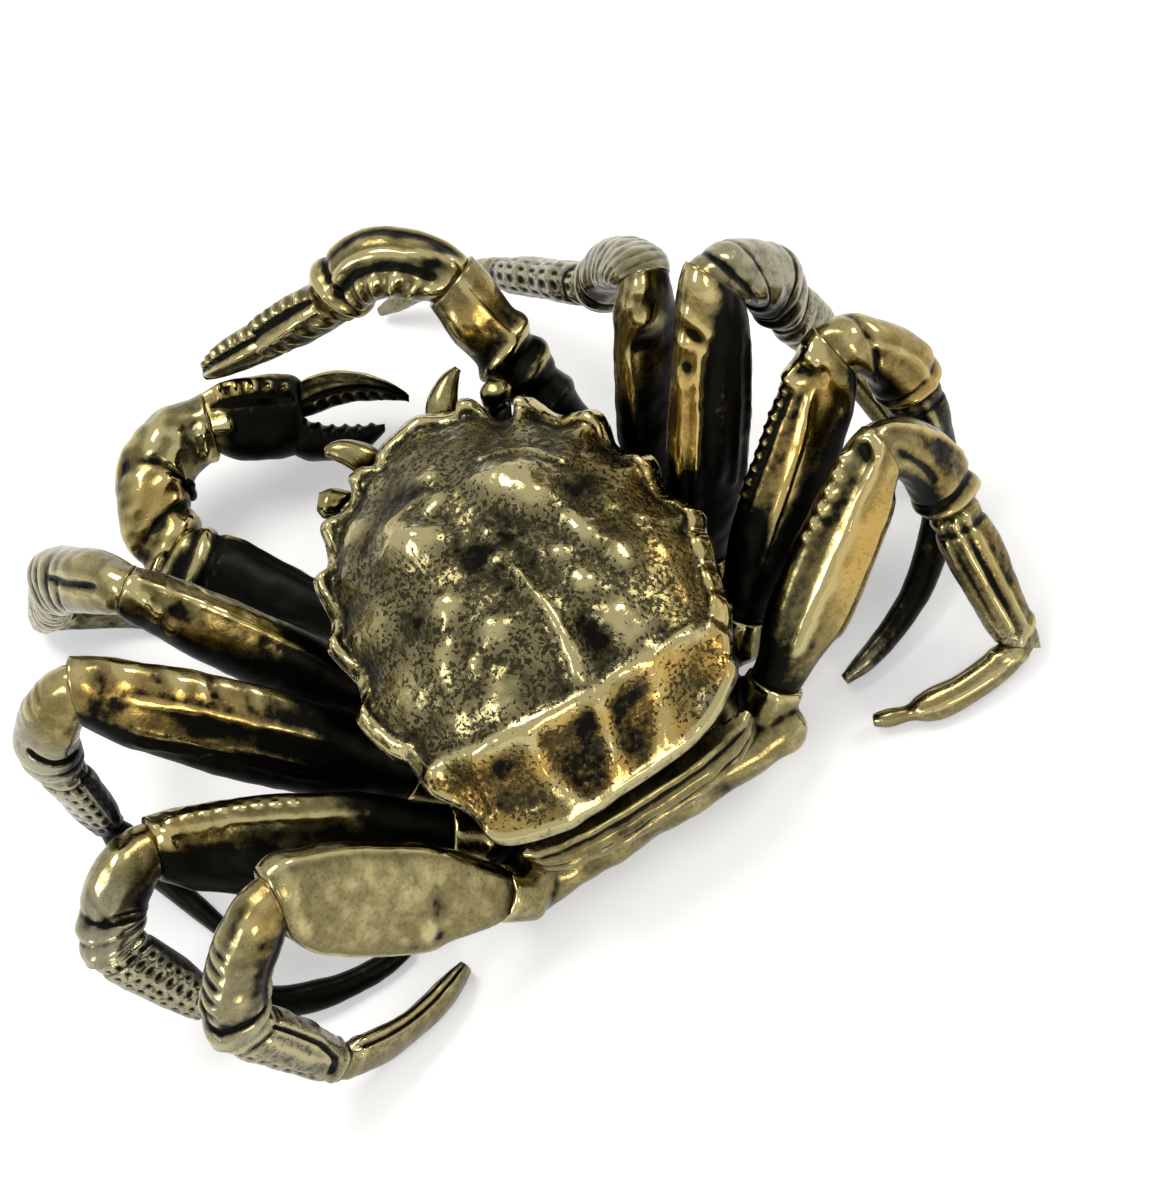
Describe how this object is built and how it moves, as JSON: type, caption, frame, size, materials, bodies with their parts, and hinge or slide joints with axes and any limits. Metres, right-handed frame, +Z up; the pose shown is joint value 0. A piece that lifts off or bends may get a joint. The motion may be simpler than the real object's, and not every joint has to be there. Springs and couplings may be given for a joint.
{
  "type": "crab figurine",
  "caption": "Small cast brass crab ornament with a toothed, knobbed shell, bent legs with pointed toes and raised pincers, standing on its flat belly.",
  "frame": {"origin": "centre of the flat pad under the belly, on the table", "axes": "+Z up, -Y the way the crab faces, +X the crab's left side"},
  "size_m": [0.0522, 0.0389, 0.0234],
  "materials": {
    "polished_brass": "antique, high points polished, dark patina in the hollows",
    "dark_brass": "antique, mostly dark patina",
    "pale_brass": "antique, pale grey-green brass with dark marks"
  },
  "bodies": {
    "root": {"carapace": "polished_brass", "body": "dark_brass", "tail": "polished_brass", "face": "dark_brass", "left_eye": "polished_brass", "right_eye": "polished_brass", "left_feeler": "polished_brass", "right_feeler": "polished_brass", "left_leg_1_upper": "polished_brass", "left_leg_1_knee": "polished_brass", "left_leg_1_shin": "pale_brass", "left_leg_1_toe": "dark_brass", "left_leg_2_upper": "polished_brass", "left_leg_2_knee": "polished_brass", "left_leg_2_shin": "pale_brass", "left_leg_2_toe": "dark_brass", "left_leg_3_upper": "polished_brass", "left_leg_3_knee": "polished_brass", "left_leg_3_shin": "pale_brass", "left_leg_3_toe": "dark_brass", "left_leg_4_upper": "polished_brass", "left_leg_4_knee": "polished_brass", "left_leg_4_shin": "pale_brass", "left_leg_4_toe": "dark_brass", "right_leg_1_upper": "polished_brass", "right_leg_1_knee": "polished_brass", "right_leg_1_shin": "pale_brass", "right_leg_1_toe": "dark_brass", "right_leg_2_upper": "polished_brass", "right_leg_2_knee": "polished_brass", "right_leg_2_shin": "pale_brass", "right_leg_2_toe": "dark_brass", "right_leg_3_upper": "polished_brass", "right_leg_3_knee": "polished_brass", "right_leg_3_shin": "pale_brass", "right_leg_3_toe": "dark_brass", "right_leg_4_upper": "polished_brass", "right_leg_4_knee": "polished_brass", "right_leg_4_shin": "pale_brass", "right_leg_4_toe": "dark_brass", "left_claw_arm": "dark_brass", "left_claw_wrist": "polished_brass", "left_claw_palm": "polished_brass", "left_claw_finger": "dark_brass", "right_claw_arm": "dark_brass", "right_claw_wrist": "polished_brass", "right_claw_palm": "polished_brass", "right_claw_finger": "dark_brass"}
  },
  "joints": []
}
